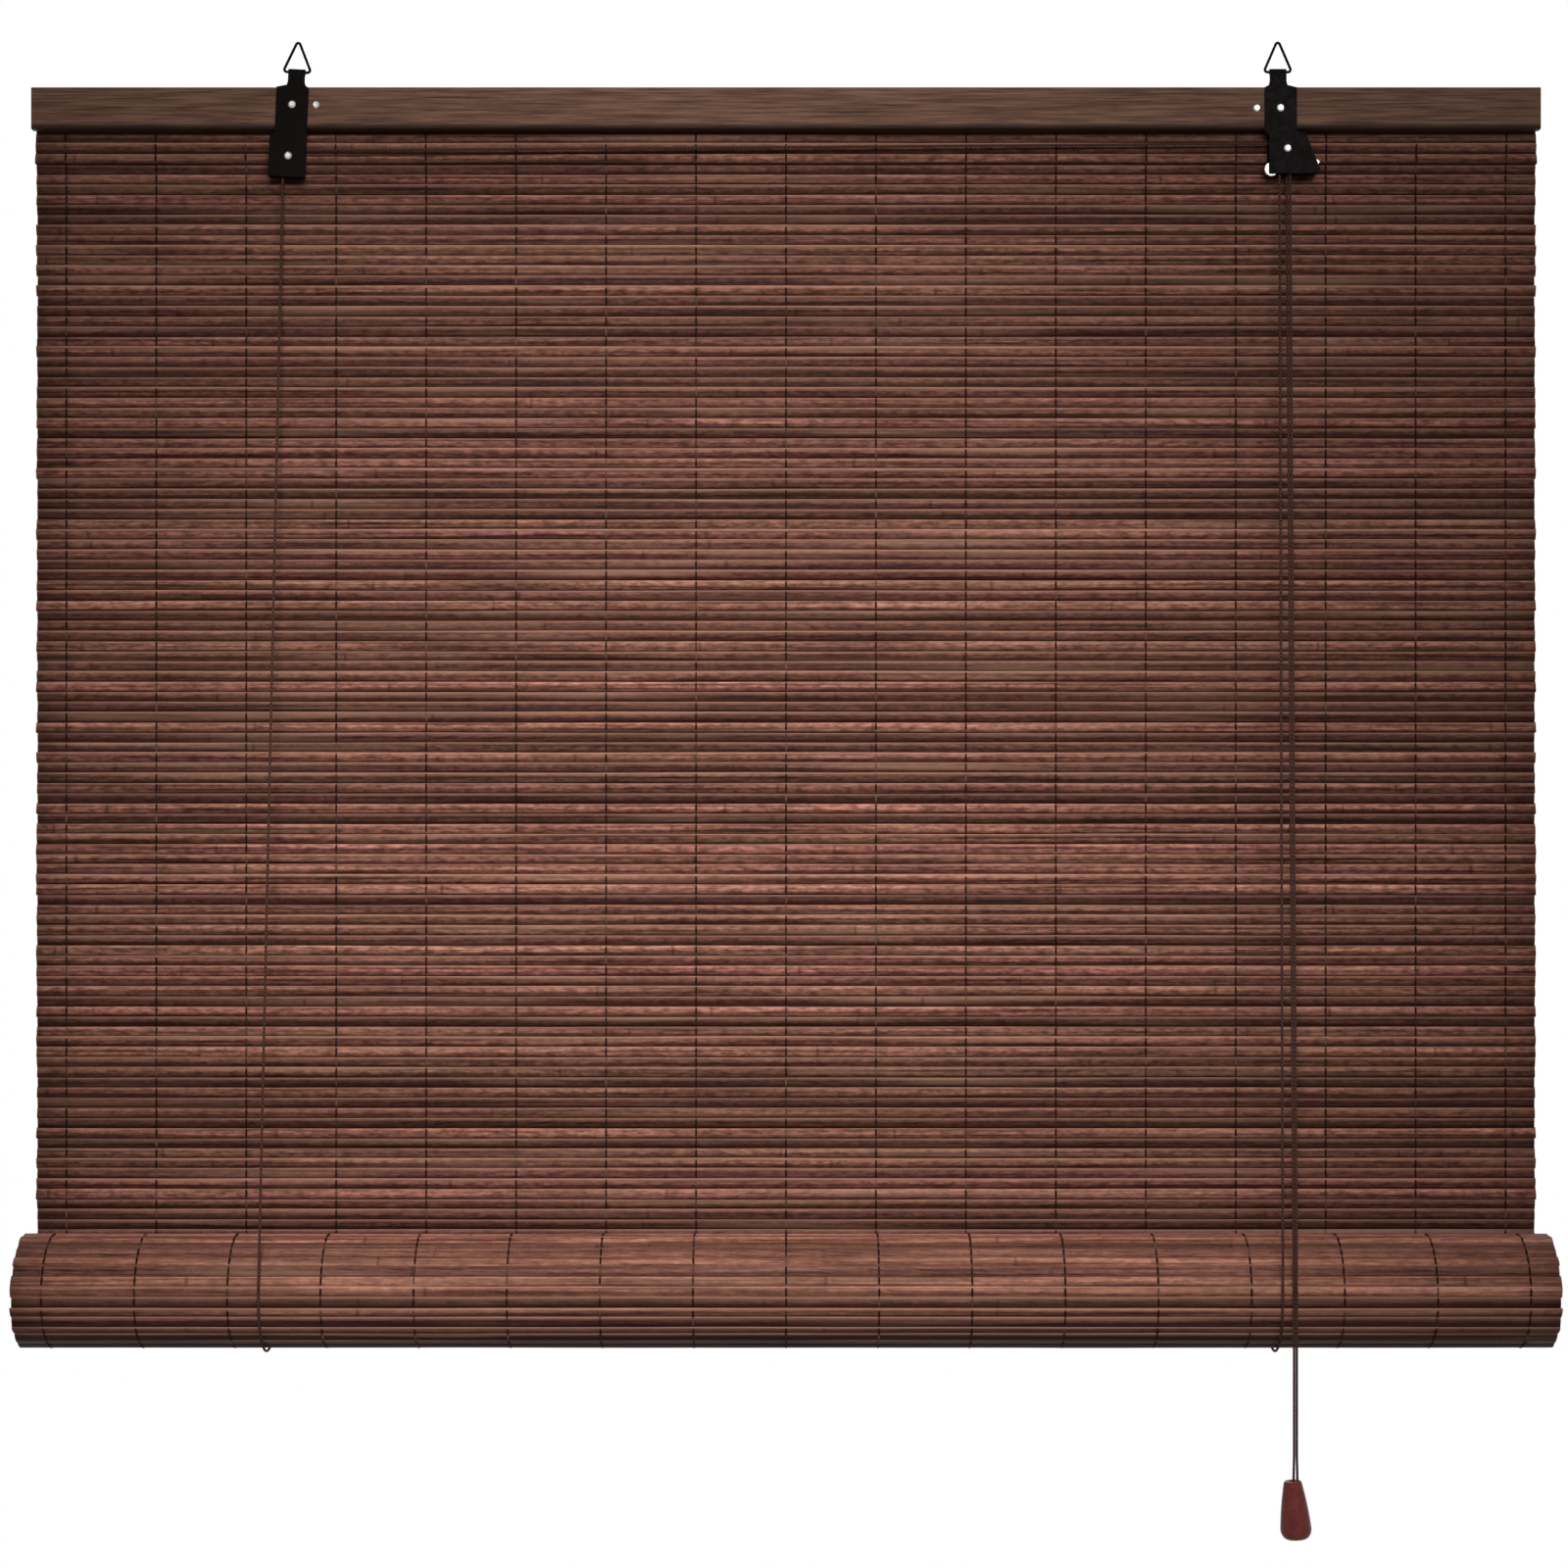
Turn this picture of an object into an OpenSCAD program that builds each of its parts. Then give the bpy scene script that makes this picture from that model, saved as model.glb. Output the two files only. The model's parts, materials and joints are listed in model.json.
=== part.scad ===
// Bamboo roll-up blind, half raised, hanging from two wire rings.
// Millimetres, +Z up, the room is on the -Y side. The origin is on the rail's middle,
// at the height where the hooks bear in the tops of the two rings.

/* [Head rail] */
// length of the wooden head rail
rail_w = 900; // [600:10:1800]
// height of the rail
rail_h = 25; // [20:0.5:40]
// thickness of the rail
rail_t = 8; // [7:0.5:20]
// rounding of the rail's long edges
rail_edge_r = 1.2; // [0.5:0.1:3]

/* [Slat mat] */
// how far the mat stops short of each end of the rail
mat_inset = 1; // [0.5:0.1:10]
// one slat with its share of the groove
slat_pitch = 6.08; // [4:0.02:10]
// thickness of a slat
slat_t = 1.8; // [1.5:0.1:3]
// depth of the groove between two slats
slat_groove = 0.45; // [0.1:0.05:0.6]
// width of a slat's bevelled edge
slat_bevel = 0.5; // [0.2:0.05:1]
// slats that hang flat between the rail and the roll
flat_slats = 117; // [40:1:120]
// slats in the hem that is folded down behind the rail
hem_slats = 7; // [5:1:12]
// slit between the hem and the mat
hem_slit = 0.3; // [0.2:0.05:1]
// how far the fold stays below the rail's top
fold_drop = 1.5; // [0.5:0.1:6]
// number of warp threads
thread_count = 17; // [5:2:25]
// from an outer warp thread to the mat's edge
thread_margin = 17.8; // [8:0.1:40]
// width of a warp thread
thread_w = 1.2; // [0.6:0.1:2]
// how far a warp thread stands proud of the slats
thread_t = 0.3; // [0.2:0.05:0.5]

/* [Roll] */
// largest radius of the rolled mat
roll_r = 34.4; // [33:0.1:50]
// distance from one turn to the next
turn_pitch = 3; // [2.8:0.05:4]
// slats wound into the roll
rolled_slats = 172; // [90:1:175]

/* [Hanging rings] */
// diameter of the ring wire
wire_d = 1.6; // [1.2:0.1:2.4]
// from a ring's inner top down to its base wire's middle
ring_h = 16.6; // [12:0.1:25]
// half width of the ring's triangle, at its base
ring_half = 7.6; // [7:0.1:10]
// bend radius at the base corners, on the wire's middle
ring_corner_r = 1.5; // [1.2:0.1:2]
// bend radius at the top, on the wire's middle
ring_top_r = 1.3; // [1.25:0.05:1.8]
// play of the wire in its curl
ring_play = 0.08; // [0.02:0.01:0.1]

/* [Brackets] */
// thickness of the bracket sheet
sheet_t = 1; // [0.8:0.1:1.5]
// half width of the plate on the rail
plate_half = 9.6; // [9:0.1:14]
// half width of the neck that curls round the ring
neck_half = 5; // [3:0.1:5.2]
// from the ring's base wire down to the rail's top
neck_h = 9; // [7:0.1:14]
// left bracket's nail from the rail's end
left_set = 155.6; // [60:0.1:175]
// left nail below the rail's top
left_nail_drop = 10.4; // [6:0.1:16]
// lean of the left bracket about its nail
left_lean = 2.5; // [0:0.1:4]
// sideways set of the left neck
left_neck_set = 2; // [-3:0.1:3]
// half width of the left pocket on its closed side
left_pocket_half = 12.4; // [11:0.1:15]
// left plate below the rail
left_plate_drop = 28.6; // [26:0.1:36]
// right bracket's nail from the rail's end
right_set = 155.2; // [60:0.1:175]
// right nail below the rail's top
right_nail_drop = 12.4; // [6:0.1:16]
// sideways set of the right neck
right_neck_set = -1.6; // [-3:0.1:3]
// right plate below the rail
right_plate_drop = 26.6; // [26:0.1:34]
// free space between a bracket's rear leaf and the hem
leaf_gap = 0.6; // [0.4:0.05:2]

/* [Pulleys and lock] */
// radius of a pulley's groove bottom
groove_r = 2.8; // [2.6:0.1:3.2]
// outer radius of a pulley
pulley_r = 5.2; // [4.8:0.1:5.6]
// radius of a pulley's axle
axle_r = 1.55; // [1.2:0.05:1.7]
// play of a turning piece on its axle
axle_play = 0.05; // [0.02:0.01:0.1]
// play of an axle in the bracket's holes
hole_play = 0.03; // [0.02:0.01:0.1]
// free space on each side of a turning piece
side_play = 0.3; // [0.3:0.05:0.6]
// left pulley below the rail
left_pulley_drop = 16; // [14:0.1:18]
// right pulley below the rail
right_pulley_drop = 11.4; // [10:0.1:12]
// right pulley from its nail
right_pulley_set = 4.2; // [3.5:0.1:5]
// radius of the guide roller
guide_r = 4; // [3:0.1:4.1]
// radius of the guide roller's pin
guide_pin_r = 1; // [0.8:0.05:1.2]
// radius of the lock cam's disc
cam_r = 5; // [4:0.1:5.2]
// radius of the stud that the cam presses the cords against
stud_r = 1.4; // [1:0.05:1.45]

/* [Nails and staples] */
// radius of a nail or rivet head
head_r = 2.3; // [1.8:0.1:3]
// height of a nail or rivet head
head_h = 0.8; // [0.5:0.1:1.5]
// radius of a nail's shank
nail_r = 0.7; // [0.5:0.05:1]
// how deep a nail goes into the rail
nail_depth = 5.5; // [4:0.1:6]
// loose nail beside each bracket, from the bracket's own nail
side_nail_set = 14; // [12.5:0.1:24]
// width of a staple over its legs
staple_w = 10; // [6:0.5:14]
// thickness of the staple wire
staple_t = 0.8; // [0.5:0.1:1]
// how deep a staple goes into the rail
staple_depth = 4; // [2:0.5:6]

/* [Cords and tassel] */
// diameter of the cords
cord_d = 1.5; // [1.2:0.1:1.6]
// left lift cord at the roll, outward from its bracket's nail
left_cord_set = 10.6; // [5.6:0.1:15.6]
// right lift cord at the roll, inward from its bracket's nail
right_cord_set = 7.8; // [6.8:0.1:9.8]
// space between the roll and the cords round it
cord_gap = 0.35; // [0.3:0.05:1]
// radius of the knots that stop the lift cords
knot_r = 1.25; // [1:0.05:1.4]
// tassel, inward from the right bracket's nail
tassel_set = 2.2; // [0.8:0.1:3.8]
// each pull cord on the roll, from the tassel's middle
pull_spread = 1.3; // [1.2:0.05:1.6]
// tassel's top below the roll's middle
tassel_drop = 105; // [70:1:300]
// height of the tassel
tassel_h = 33.4; // [28:0.1:45]
// radius of the tassel's top
tassel_top_r = 5.2; // [4.5:0.1:7]
// largest radius of the tassel
tassel_r = 9; // [8:0.1:12]
// lean of the tassel
tassel_lean = 4; // [0:0.5:6]

/* [Hidden] */
$fn = 64;
wire_r = wire_d / 2;
cord_r = cord_d / 2;

// places along the rail
mat_w = rail_w - 2 * mat_inset;
thread_pitch = (mat_w - 2 * thread_margin) / (thread_count - 1);
left_x = left_set - rail_w / 2;
right_x = rail_w / 2 - right_set;
left_cord_x = left_x - left_cord_set;
right_cord_x = right_x - right_cord_set;
tassel_x = right_x - tassel_set;

// heights
curl_z = -ring_h;
rail_top = curl_z - neck_h;
rail_bottom = rail_top - rail_h;
mat_top = rail_top - fold_drop;
mat_bottom = mat_top - flat_slats * slat_pitch;
hem_bottom = mat_top - hem_slats * slat_pitch;
staple_z = mat_top - 2 * slat_pitch;

// depths, from the room to the wall
seat_gap = 0.1;
curl_bore_r = wire_r + ring_play;
curl_r = curl_bore_r + sheet_t;
plate_front = -curl_r;
rail_front = plate_front + sheet_t;
rail_back = rail_front + rail_t;
hem_front = rail_back + seat_gap;
hem_back = hem_front + slat_t;
mat_front = hem_back + hem_slit;
mat_back = mat_front + slat_t;
leaf_back = hem_front - thread_t - leaf_gap;
leaf_front = leaf_back - sheet_t;

// roll: the turns wind inward from the back, under, up the front and over
joint_gap = 0.3;
roll_z = mat_bottom - joint_gap;
roll_y = mat_back - roll_r;
mid_r = roll_r - slat_t / 2;
turn_k = turn_pitch / (2 * PI);
function roll_angle(slat) =
    (mid_r - sqrt(pow(mid_r, 2) - 2 * turn_k * slat * slat_pitch)) / turn_k * 180 / PI;
function turn_r(a) = roll_r - turn_pitch * a / 360;
function at_roll(r, a) = [roll_y + r * cos(a), roll_z - r * sin(a)];
core_r = turn_r(roll_angle(rolled_slats)) - slat_t;
rod_r = core_r * cos(slat_pitch / 2 / (core_r + slat_t / 2) * 180 / PI) - seat_gap;

// brackets
neck_base = rail_top + 3.2;
pocket_top = rail_bottom - 2.5;
left_bottom = rail_bottom - left_plate_drop;
right_bottom = rail_bottom - right_plate_drop;
left_nail_z = rail_top - left_nail_drop;
right_nail_z = rail_top - right_nail_drop;
slant_top = plate_half + 5.3;
slant_bottom = plate_half + 13.9;
slant_z = right_bottom + 2.7;
right_inset = plate_half - 2.7;
pocket_depth = leaf_front - rail_front;

// turning pieces: places in the left bracket are before its lean
turning_w = pocket_depth - 2 * side_play;
turning_y = rail_front + side_play;
cord_run_r = groove_r + cord_r + 0.05;
left_pulley_local = [left_x - 1, rail_bottom - left_pulley_drop];
right_pulley_at = [right_x + right_pulley_set, rail_bottom - right_pulley_drop];
guide_at = [right_x - right_inset + 1.6, right_bottom + 2.8];
cam_at = [right_x + 15.2, right_bottom + 8.2];
cam_set = [-2, -1.2];
stud_at = [right_pulley_at.x + 0.3, right_bottom + 5.6];
left_groove_y = turning_y + turning_w / 2;
front_groove_y = turning_y + turning_w / 4;
rear_groove_y = turning_y + turning_w * 3 / 4;

function leaned(p) =
    let (dx = p.x - left_x, dz = p.y - left_nail_z)
    [left_x + dx * cos(left_lean) + dz * sin(left_lean),
     left_nail_z - dx * sin(left_lean) + dz * cos(left_lean)];
left_pulley_at = leaned(left_pulley_local);

// cords
loop_r = roll_r + thread_t + cord_gap + cord_r;
cord_back = roll_y + loop_r;
knot_z = staple_z + staple_t / 2 + knot_r + 0.2;
cord_end_z = knot_z - knot_r - 0.05;
tassel_y = roll_y - loop_r;
tassel_z = roll_z - tassel_drop;
tassel_bore_r = cord_d + 0.7;

// piece to draw

wood_brown = [0.40, 0.28, 0.23];
slat_brown = [0.38, 0.25, 0.21];
thread_brown = [0.16, 0.09, 0.07];
black_paint = [0.06, 0.05, 0.05];
bare_steel = [0.72, 0.72, 0.70];
cord_grey = [0.55, 0.48, 0.44];
tassel_red = [0.35, 0.18, 0.17];

// Shared shapes

// a side view in Y and Z, drawn out along X about the middle
module along_x(width) {
    translate([-width / 2, 0, 0]) rotate([90, 0, 90]) linear_extrude(width) children();
}

// a front view in X and Z, from depth y0 to depth y1
module sheet(y0, y1) {
    translate([0, y1, 0]) rotate([90, 0, 0]) linear_extrude(y1 - y0) children();
}

// a round bar along Y from depth y0 to depth y1
module pin(at, y0, y1, r) {
    translate([at.x, y0, at.y]) rotate([-90, 0, 0]) cylinder(h = y1 - y0, r = r);
}

// a low domed head, with its flat side at depth y
module head(at, y) {
    translate([at.x, y, at.y]) rotate([90, 0, 0]) cylinder(h = head_h, r1 = head_r, r2 = head_r * 0.65);
}

module nail(at, y) {
    head(at, y);
    pin(at, y, rail_front + nail_depth, nail_r);
}

module staple(x, crown_y, width) {
    for (side = [-1, 1])
        translate([x + side * (width - staple_t) / 2 - staple_t / 2, rail_back - staple_depth,
            staple_z - staple_t / 2])
            cube([staple_t, crown_y + staple_t - rail_back + staple_depth, staple_t]);
    translate([x - width / 2, crown_y, staple_z - staple_t / 2]) cube([width, staple_t, staple_t]);
}

function arc(c, r, from, to, steps) =
    [for (i = [0:steps]) let (a = from + (to - from) * i / steps) c + r * [cos(a), sin(a)]];

// one side of a row of slats, from the top down; grooves go the way that inward says
function slat_side(y, top, count, inward) = [
    for (i = [0:count - 1]) let (z = top - i * slat_pitch) each [
        [y + inward * slat_groove, z],
        [y, z - slat_bevel],
        [y, z - slat_pitch + slat_bevel]],
    [y + inward * slat_groove, top - count * slat_pitch]];

// one side of the wound slats, lift millimetres in from the turn's outer face
function wound_side(lift, inward) = [
    for (i = [0:rolled_slats - 1])
        let (a = roll_angle(i), b = roll_angle(i + 1), edge = slat_bevel / turn_r(a) * 180 / PI) each [
            at_roll(turn_r(a) - lift - inward * slat_groove, a),
            at_roll(turn_r(a + edge) - lift, a + edge),
            at_roll(turn_r(b - edge) - lift, b - edge)],
    let (a = roll_angle(rolled_slats)) at_roll(turn_r(a) - lift - inward * slat_groove, a)];

function reversed(list) = [for (i = [len(list) - 1:-1:0]) list[i]];
function thread_x(i) = (i - (thread_count - 1) / 2) * thread_pitch;

// Cords: an eight-sided tube swept along its route

function unit(v) = v / norm(v);
function way(route, i) = unit(
    (i > 0 ? unit(route[i] - route[i - 1]) : [0, 0, 0])
    + (i < len(route) - 1 ? unit(route[i + 1] - route[i]) : [0, 0, 0]));
function tube_ring(p, d, side) = let (u = unit(cross(d, side)), v = cross(d, u))
    [for (k = [0:7]) p + cord_r * (cos(k * 45 + 22.5) * u + sin(k * 45 + 22.5) * v)];

// side is a direction that the route never takes
module tube(route, side) {
    n = len(route);
    points = [for (i = [0:n - 1]) each tube_ring(route[i], way(route, i), side)];
    walls = [for (i = [0:n - 2], k = [0:7])
        [i * 8 + k, i * 8 + (k + 1) % 8, i * 8 + 8 + (k + 1) % 8, i * 8 + 8 + k]];
    ends = [[for (k = [7:-1:0]) k], [for (k = [0:7]) (n - 1) * 8 + k]];
    polyhedron(points, concat(walls, ends));
}

// where a straight run down from depth y and height z first touches the cord's path round the roll
function touch_angle(y, z) = let (dy = y - roll_y, dz = z - roll_z)
    360 - atan2(dz, dy) - acos(loop_r / norm([dy, dz]));
function round_roll(x, from, to, steps) = [
    for (p = arc([0, 0], loop_r, -from, -to, steps)) [x, roll_y + p.x, roll_z + p.y]];
function round_pulley(at, y, from, to, steps) = [
    for (p = arc(at, cord_run_r, from, to, steps)) [p.x, y, p.y]];

// down the back of the mat, under the roll and up the front to the last point
function lift_route(x, to) = concat(
    [[x, cord_back, cord_end_z]],
    round_roll(x, 0, touch_angle(to.y, to.z), 12),
    [to]);

// from the lock over the front of the roll and down to the tassel, on one side of its middle
function pull_route(lock_out, side) = concat(
    [lock_out],
    round_roll(tassel_x + side * pull_spread, touch_angle(lock_out.y, lock_out.z), 180, 2),
    [[tassel_x + side * (cord_r + 0.1), tassel_y, tassel_z - 4]]);

// Head rail and mat

module head_rail() {
    r = rail_edge_r;
    color(wood_brown) along_x(rail_w) polygon(concat(
        arc([rail_back - r, rail_top - r], r, 0, 90, 5),
        arc([rail_front + r, rail_top - r], r, 90, 180, 5),
        arc([rail_front + r, rail_bottom + r], r, 180, 270, 5),
        arc([rail_back - r, rail_bottom + r], r, 270, 360, 5)));
}

// the hem comes down behind the rail, and the mat hangs behind the hem
module slat_mat() {
    slit_top = mat_top - slat_pitch;
    color(slat_brown) along_x(mat_w) polygon(concat(
        slat_side(hem_front, mat_top, hem_slats, 1),
        reversed(slat_side(hem_back, slit_top, hem_slats - 1, -1)),
        slat_side(mat_front, slit_top, flat_slats - 1, 1),
        reversed(slat_side(mat_back, mat_top, flat_slats, -1))));
}

module warp_threads() {
    color(thread_brown) for (i = [0:thread_count - 1]) translate([thread_x(i) - thread_w / 2, 0, 0]) {
        translate([0, hem_front - thread_t, hem_bottom])
            cube([thread_w, thread_t, rail_bottom - 0.3 - hem_bottom]);
        translate([0, mat_front - thread_t, mat_bottom])
            cube([thread_w, thread_t, hem_bottom - 0.3 - mat_bottom]);
        translate([0, mat_back, mat_bottom]) cube([thread_w, thread_t, mat_top - mat_bottom]);
    }
}

// one staple in every third space between threads
module mat_staples() {
    color(bare_steel) for (i = [1:3:thread_count - 1])
        staple((thread_x(i) + thread_x(i - 1)) / 2, mat_back, staple_w);
}

// one nail through each bracket and one in the rail beside it
module nails() {
    color(bare_steel) {
        nail([left_x, left_nail_z], plate_front);
        nail([right_x, right_nail_z], plate_front);
        nail([left_x + side_nail_set, left_nail_z], rail_front);
        nail([right_x - side_nail_set, right_nail_z], rail_front);
    }
}

// Brackets: one folded sheet each, with a neck curled round the ring's base wire

module neck(x) {
    meet = -acos(-(curl_r - sheet_t) / curl_r);
    translate([x, 0, 0]) difference() {
        along_x(2 * neck_half) polygon(concat(
            [[rail_front, neck_base], [plate_front, neck_base]],
            arc([0, curl_z], curl_r, 180, meet, 20)));
        translate([-neck_half - 1, 0, curl_z]) rotate([0, 90, 0])
            cylinder(h = 2 * neck_half + 2, r = curl_bore_r);
    }
}

// the plate's outline from its left shoulder over the neck to its right shoulder
function shoulders(neck_set) = [
    [-plate_half, rail_top - 0.4],
    [neck_set - neck_half - 0.6, rail_top + 1],
    [neck_set - neck_half, neck_base],
    [neck_set + neck_half, neck_base],
    [neck_set + neck_half + 0.6, rail_top + 1],
    [plate_half, rail_top - 0.4]];

module left_sheet() {
    side = left_pocket_half;
    leaf_edge = plate_half - 1;
    neck(left_x + left_neck_set);
    translate([left_x, 0, 0]) {
        sheet(plate_front, rail_front) polygon(concat(shoulders(left_neck_set),
            [[plate_half, left_bottom], [-side, left_bottom], [-side, pocket_top - 2],
             [-plate_half, pocket_top]]));
        sheet(plate_front, leaf_back) polygon([[-side, left_bottom], [-side + sheet_t, left_bottom],
            [-side + sheet_t, pocket_top - 2], [-side, pocket_top - 2]]);
        sheet(leaf_front, leaf_back) polygon([[-side, left_bottom], [leaf_edge, left_bottom],
            [leaf_edge, pocket_top - 2], [-side, pocket_top - 2]]);
    }
}

module lean_left() {
    translate([left_x, 0, left_nail_z]) rotate([0, left_lean, 0]) translate([-left_x, 0, -left_nail_z])
        children();
}

module left_bracket() {
    color(black_paint) lean_left() difference() {
        left_sheet();
        pin([left_x, left_nail_z], plate_front - 1, rail_front + 1, nail_r + hole_play);
        pin(left_pulley_local, plate_front - 1, leaf_back + 1, axle_r + hole_play);
    }
}

// lower half of the right bracket: inset on the cord side, slanted over the lock
function lock_outline() = [
    [slant_top, pocket_top],
    [slant_bottom, slant_z],
    [slant_bottom - 0.9, right_bottom + 1],
    [slant_bottom - 4.3, right_bottom],
    [-right_inset, right_bottom],
    [-right_inset, pocket_top - 1]];

module right_sheet() {
    slant = (slant_bottom - slant_top) / (pocket_top - slant_z);
    flange_h = 9;
    neck(right_x + right_neck_set);
    translate([right_x, 0, 0]) {
        sheet(plate_front, rail_front) polygon(concat(shoulders(right_neck_set),
            [[plate_half, pocket_top + 1]], lock_outline(), [[-plate_half, pocket_top + 1]]));
        sheet(plate_front, leaf_back) polygon([[slant_top, pocket_top],
            [slant_top + slant * flange_h, pocket_top - flange_h],
            [slant_top + slant * flange_h - sheet_t, pocket_top - flange_h],
            [slant_top - sheet_t, pocket_top]]);
        sheet(leaf_front, leaf_back) polygon(lock_outline());
    }
}

module right_bracket() {
    color(black_paint) difference() {
        right_sheet();
        pin([right_x, right_nail_z], plate_front - 1, rail_front + 1, nail_r + hole_play);
        pin(right_pulley_at, plate_front - 1, leaf_back + 1, axle_r + hole_play);
        pin(guide_at, plate_front - 1, leaf_back + 1, guide_pin_r + hole_play);
        pin(cam_at, plate_front - 1, leaf_back + 1, axle_r + hole_play);
    }
}

// Rings: wire bent to a triangle, its base running through the bracket's curl

module wire_run(p, q) {
    d = q - p;
    translate([p.x, 0, p.y]) rotate([0, atan2(d.x, d.y), 0]) cylinder(h = norm(d), r = wire_r);
}

module wire_bend(c, r, from, to) {
    translate([c.x, 0, c.y]) rotate([90, 0, 0]) rotate([0, 0, from])
        rotate_extrude(angle = to - from) translate([r, 0]) circle(wire_r);
}

// the sides lean in by the angle at which they touch both bends
module ring(x) {
    top = [0, wire_r - ring_top_r];
    foot = [ring_half - ring_corner_r, curl_z + ring_corner_r];
    reach = top - foot;
    lean = 90 + atan2(reach.x, reach.y) + asin((ring_corner_r - ring_top_r) / norm(reach));
    side = 90 - lean;
    out = [cos(-side), sin(side)];
    translate([x, 0, 0]) {
        wire_run([-foot.x, curl_z], [foot.x, curl_z]);
        wire_bend(top, ring_top_r, side, 180 - side);
        for (m = [0, 1]) mirror([m, 0, 0]) {
            wire_bend(foot, ring_corner_r, -90, side);
            wire_run(foot + ring_corner_r * out, top + ring_top_r * out);
        }
    }
}

module left_ring() {
    color(black_paint) lean_left() ring(left_x + left_neck_set);
}

module right_ring() {
    color(black_paint) ring(right_x + right_neck_set);
}

// Pulleys, lock and their pins

module pulley(at, grooves) {
    half_root = cord_r + 0.1;
    half_mouth = half_root + 0.2;
    step = turning_w / grooves;
    translate([at.x, turning_y, at.y]) rotate([-90, 0, 0]) rotate_extrude() polygon(concat(
        [[axle_r + axle_play, 0], [pulley_r, 0]],
        [for (i = [0:grooves - 1]) let (m = (i + 0.5) * step) each [
            [pulley_r, m - half_mouth], [groove_r, m - half_root],
            [groove_r, m + half_root], [pulley_r, m + half_mouth]]],
        [[pulley_r, turning_w], [axle_r + axle_play, turning_w]]));
}

module left_pulley() {
    color(black_paint) pulley(left_pulley_at, 1);
}

module right_pulley() {
    color(black_paint) pulley(right_pulley_at, 2);
}

// the pulleys' axles, with a bright head on the room side
module rivets() {
    color(bare_steel) for (at = [left_pulley_at, right_pulley_at]) {
        head(at, plate_front);
        pin(at, plate_front, leaf_back + 0.3, axle_r);
    }
}

module guide_roller() {
    color(bare_steel) difference() {
        pin(guide_at, turning_y, turning_y + turning_w, guide_r);
        pin(guide_at, turning_y - 1, turning_y + turning_w + 1, guide_pin_r + axle_play);
    }
}

module guide_pin() {
    color(black_paint) pin(guide_at, plate_front, leaf_back, guide_pin_r);
}

// a toothed disc off its pin's middle, with a thumb tail at the open side
module lock_cam() {
    teeth = 5;
    color(bare_steel) difference() {
        union() {
            pin(cam_at + cam_set, turning_y, turning_y + turning_w, cam_r);
            sheet(turning_y, turning_y + turning_w) translate(cam_at) polygon(
                [[0, 2.2], [7.2, 0], [8.1, -1], [7.4, -2.4], [0, -3.5]]);
        }
        pin(cam_at, turning_y - 1, turning_y + turning_w + 1, axle_r + axle_play);
        for (i = [0:teeth - 1])
            sheet(turning_y - 1, turning_y + turning_w + 1) translate(cam_at + cam_set)
                rotate(156 + i * 12) polygon([[cam_r - 0.6, 0], [cam_r + 1, -0.5], [cam_r + 1, 0.5]]);
    }
}

module lock_pin() {
    color(black_paint) pin(cam_at, plate_front, leaf_back, axle_r);
}

module lock_stud() {
    color(bare_steel) pin(stud_at, rail_front, leaf_front, stud_r);
}

// Roll: the wound mat is one solid, on the rod at its lower end

module mat_roll() {
    color(slat_brown) along_x(mat_w) polygon(concat(
        wound_side(0, 1), reversed(wound_side(slat_t, -1))));
}

// the threads where they show, once round the outer turn
module roll_threads() {
    last = floor(2 * PI * (roll_r - turn_pitch) / slat_pitch) - 1;
    lift = 0.05;
    color(thread_brown) for (i = [0:thread_count - 1]) translate([thread_x(i), 0, 0])
        along_x(thread_w) polygon(concat(
            [for (k = [1:last]) let (a = roll_angle(k)) at_roll(turn_r(a) + thread_t, a)],
            [for (k = [last:-1:1]) let (a = roll_angle(k)) at_roll(turn_r(a) + lift, a)]));
}

module bottom_rod() {
    color(wood_brown) translate([-rail_w / 2, roll_y, roll_z]) rotate([0, 90, 0])
        cylinder(h = rail_w, r = rod_r);
}

// Cords

module cord_staples() {
    color(bare_steel) for (x = [left_cord_x, right_cord_x])
        staple(x, cord_back + cord_r + 0.05, cord_d + 2 * staple_t + 0.4);
}

module cord_knots() {
    color(cord_grey) for (x = [left_cord_x, right_cord_x])
        translate([x, cord_back, knot_z]) sphere(knot_r);
}

module left_lift_cord() {
    x = left_pulley_at.x - cord_run_r;
    color(cord_grey) tube(concat(
        lift_route(left_cord_x, [x, left_groove_y, left_pulley_at.y - 5]),
        [[x, left_groove_y, left_pulley_at.y - 0.1]]), [1, 0, 0]);
}

// past the guide roller and up to the front groove
module right_lift_cord() {
    x = right_pulley_at.x - cord_run_r;
    color(cord_grey) tube(concat(
        lift_route(right_cord_x, [guide_at.x + guide_r + cord_r + 0.15, front_groove_y, guide_at.y - 1.5]),
        [[x, front_groove_y, right_pulley_at.y - 5], [x, front_groove_y, right_pulley_at.y - 0.1]]), [1, 0, 0]);
}

// from the left pulley across the front of the mat to the right pulley's rear groove
module cross_cord() {
    color(cord_grey) tube(concat(
        round_pulley(left_pulley_at, left_groove_y, 180, 90, 4),
        [[right_pulley_at.x - 0.3, rear_groove_y, right_pulley_at.y + cord_run_r]]), [0, 1, 0]);
}

module pull_cord_front() {
    y = front_groove_y;
    lock_x = stud_at.x + stud_r + cord_r + 0.15;
    color(cord_grey) tube(concat(
        round_pulley(right_pulley_at, y, 180, 0, 6), [[lock_x, y, stud_at.y]],
        pull_route([lock_x - 1, y - 0.4, right_bottom - 2], 1)), [0, 1, 0]);
}

module pull_cord_rear() {
    y = rear_groove_y;
    lock_x = stud_at.x + stud_r + cord_r + 0.15;
    color(cord_grey) tube(concat(
        round_pulley(right_pulley_at, y, 90, 0, 3), [[lock_x, y, stud_at.y]],
        pull_route([lock_x - 2.5, y - 0.4, right_bottom - 2], -1)), [0, 1, 0]);
}

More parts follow.
